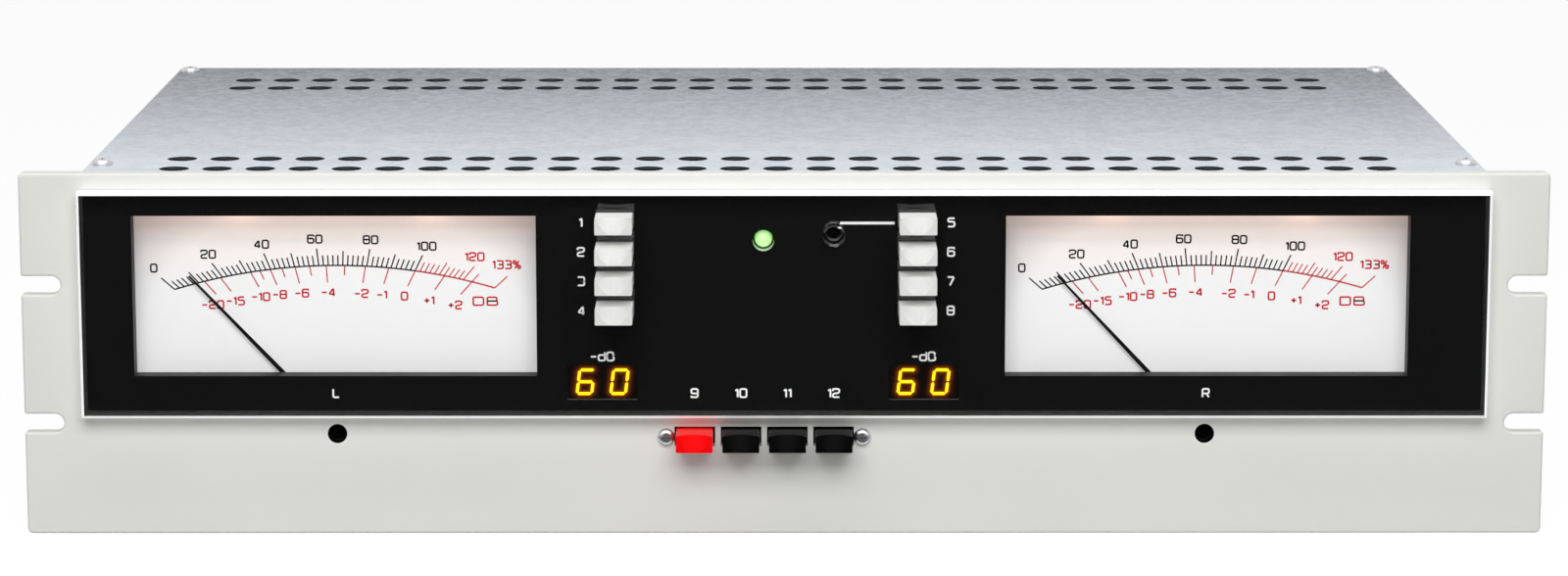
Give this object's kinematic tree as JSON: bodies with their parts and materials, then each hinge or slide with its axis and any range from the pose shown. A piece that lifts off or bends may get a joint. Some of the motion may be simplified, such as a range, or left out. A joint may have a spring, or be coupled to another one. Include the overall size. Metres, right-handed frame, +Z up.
{
  "type": "stereo monitor",
  "caption": "Rack-mounted FM stereo monitor: wide panel with a black window, twin pointer meters, push-button banks, numeric displays and a perforated chassis.",
  "frame": {"origin": "centre of the four rack slots, on the rear face of the front panel", "axes": "+X to the viewer's right, +Y from the front panel into the chassis, +Z up; the front faces -Y"},
  "size_m": [0.4826, 0.2914, 0.1177],
  "materials": {
    "panel_metal": "smooth satin paint, light warm grey",
    "clear_plate": "polished clear acrylic",
    "black_film": "gloss black",
    "chassis_metal": "zinc plated sheet",
    "cover_metal": "zinc coated sheet, faintly mottled",
    "plated_steel": "bright plated",
    "white_cap": "satin white",
    "red_cap": "satin red",
    "black_cap": "satin black",
    "black_moulding": "matt black",
    "dial_white": "matt white with printed scales",
    "needle_black": "matt black",
    "magnet_steel": "ground steel",
    "coil_copper": "enamelled wire",
    "lamp_glass": "clear",
    "switch_body": "matt dark grey",
    "display_body": "dark red lens",
    "display_light": "lit segments",
    "pilot_lens": "lit green lens",
    "trimmer_body": "satin blue",
    "trimmer_rotor": "satin black",
    "board_laminate": "green solder mask",
    "core_steel": "varnished laminations",
    "winding_tape": "taped winding",
    "capacitor_sleeve": "shrink sleeve",
    "sink_black": "black anodised",
    "ribbon_grey": "flat cable"
  },
  "bodies": {
    "chassis": {"front_panel": "panel_metal", "window_plate": "clear_plate", "window_mask": "black_film", "left_side": "chassis_metal", "right_side": "chassis_metal", "rear_panel": "chassis_metal", "deck": "chassis_metal", "top_cover": "cover_metal", "bottom_cover": "cover_metal", "cover_screws": "plated_steel", "frame_screws": "plated_steel", "panel_nuts": "plated_steel", "meter_backs": "black_moulding", "meter_lamps": "lamp_glass", "meter_screws": "plated_steel", "upper_switch_banks": "switch_body", "lower_switch_bank": "switch_body", "bank_screws": "plated_steel", "display_modules": "display_body", "display_digits": "display_light", "pilot_lamp": "pilot_lens", "phase_trimmer": "trimmer_body", "front_board": "board_laminate", "main_board": "board_laminate", "board_standoffs": "plated_steel", "transformer_stack": "core_steel", "transformer_winding": "winding_tape", "capacitors": "capacitor_sleeve", "heat_sink": "sink_black", "signal_jacks": "plated_steel", "terminal_strip": "black_moulding", "power_inlet": "black_moulding", "fuse_holder": "black_moulding", "ribbon_cable": "ribbon_grey", "left_meter_case": "black_moulding", "left_meter_dial": "dial_white", "left_meter_movement": "magnet_steel", "right_meter_case": "black_moulding", "right_meter_dial": "dial_white", "right_meter_movement": "magnet_steel"},
    "left_button_1": {"left_button_1": "white_cap"},
    "left_button_2": {"left_button_2": "white_cap"},
    "left_button_3": {"left_button_3": "white_cap"},
    "left_button_4": {"left_button_4": "white_cap"},
    "right_button_1": {"right_button_1": "white_cap"},
    "right_button_2": {"right_button_2": "white_cap"},
    "right_button_3": {"right_button_3": "white_cap"},
    "right_button_4": {"right_button_4": "white_cap"},
    "lower_button_1": {"lower_button_1": "red_cap"},
    "lower_button_2": {"lower_button_2": "black_cap"},
    "lower_button_3": {"lower_button_3": "black_cap"},
    "lower_button_4": {"lower_button_4": "black_cap"},
    "left_needle": {"left_meter_needle": "needle_black", "left_meter_coil": "coil_copper"},
    "right_needle": {"right_meter_needle": "needle_black", "right_meter_coil": "coil_copper"},
    "left_zero": {"left_zero_screw": "black_moulding"},
    "right_zero": {"right_zero_screw": "black_moulding"},
    "phase": {"trimmer_screw": "trimmer_rotor"},
    "fuse_cap": {"fuse_cap": "black_moulding"}
  },
  "joints": [
    {"name": "left_button_1_push", "type": "slide", "parent": "chassis", "child": "left_button_1", "axis": [0, 1, 0], "range_m": [-0.002, 0.002]},
    {"name": "left_button_2_push", "type": "slide", "parent": "chassis", "child": "left_button_2", "axis": [0, 1, 0], "range_m": [0, 0.004], "stiffness_N_per_m": 400, "springref_m": -0.0015},
    {"name": "left_button_3_push", "type": "slide", "parent": "chassis", "child": "left_button_3", "axis": [0, 1, 0], "range_m": [0, 0.004], "stiffness_N_per_m": 400, "springref_m": -0.0015},
    {"name": "left_button_4_push", "type": "slide", "parent": "chassis", "child": "left_button_4", "axis": [0, 1, 0], "range_m": [0, 0.004], "stiffness_N_per_m": 400, "springref_m": -0.0015},
    {"name": "right_button_1_push", "type": "slide", "parent": "chassis", "child": "right_button_1", "axis": [0, 1, 0], "range_m": [-0.002, 0.002]},
    {"name": "right_button_2_push", "type": "slide", "parent": "chassis", "child": "right_button_2", "axis": [0, 1, 0], "range_m": [0, 0.004], "stiffness_N_per_m": 400, "springref_m": -0.0015},
    {"name": "right_button_3_push", "type": "slide", "parent": "chassis", "child": "right_button_3", "axis": [0, 1, 0], "range_m": [0, 0.004], "stiffness_N_per_m": 400, "springref_m": -0.0015},
    {"name": "right_button_4_push", "type": "slide", "parent": "chassis", "child": "right_button_4", "axis": [0, 1, 0], "range_m": [0, 0.004], "stiffness_N_per_m": 400, "springref_m": -0.0015},
    {"name": "lower_button_1_push", "type": "slide", "parent": "chassis", "child": "lower_button_1", "axis": [0, 1, 0], "range_m": [0, 0.004], "stiffness_N_per_m": 400, "springref_m": -0.0015},
    {"name": "lower_button_2_push", "type": "slide", "parent": "chassis", "child": "lower_button_2", "axis": [0, 1, 0], "range_m": [0, 0.004], "stiffness_N_per_m": 400, "springref_m": -0.0015},
    {"name": "lower_button_3_push", "type": "slide", "parent": "chassis", "child": "lower_button_3", "axis": [0, 1, 0], "range_m": [0, 0.004], "stiffness_N_per_m": 400, "springref_m": -0.0015},
    {"name": "lower_button_4_push", "type": "slide", "parent": "chassis", "child": "lower_button_4", "axis": [0, 1, 0], "range_m": [0, 0.004], "stiffness_N_per_m": 400, "springref_m": -0.0015},
    {"name": "left_needle_swing", "type": "hinge", "parent": "chassis", "child": "left_needle", "pos_m": [-0.142, 0.0105, -0.0256], "axis": [0, 1, 0], "range_deg": [-8, 93], "stiffness_Nm_per_rad": 0.002},
    {"name": "right_needle_swing", "type": "hinge", "parent": "chassis", "child": "right_needle", "pos_m": [0.1335, 0.0105, -0.0256], "axis": [0, 1, 0], "range_deg": [-8, 93], "stiffness_Nm_per_rad": 0.002},
    {"name": "left_zero_turn", "type": "hinge", "parent": "chassis", "child": "left_zero", "pos_m": [-0.142, 0.0012, -0.0256], "axis": [0, 1, 0], "range_deg": [-60, 60]},
    {"name": "right_zero_turn", "type": "hinge", "parent": "chassis", "child": "right_zero", "pos_m": [0.1335, 0.0012, -0.0256], "axis": [0, 1, 0], "range_deg": [-60, 60]},
    {"name": "phase_turn", "type": "hinge", "parent": "chassis", "child": "phase", "pos_m": [0.0156, 0.0042, 0.0392], "axis": [0, 1, 0], "range_deg": [-135, 135]},
    {"name": "fuse_cap_turn", "type": "hinge", "parent": "chassis", "child": "fuse_cap", "pos_m": [-0.12, 0.256, 0], "axis": [0, 1, 0], "range_deg": [0, 90]}
  ]
}
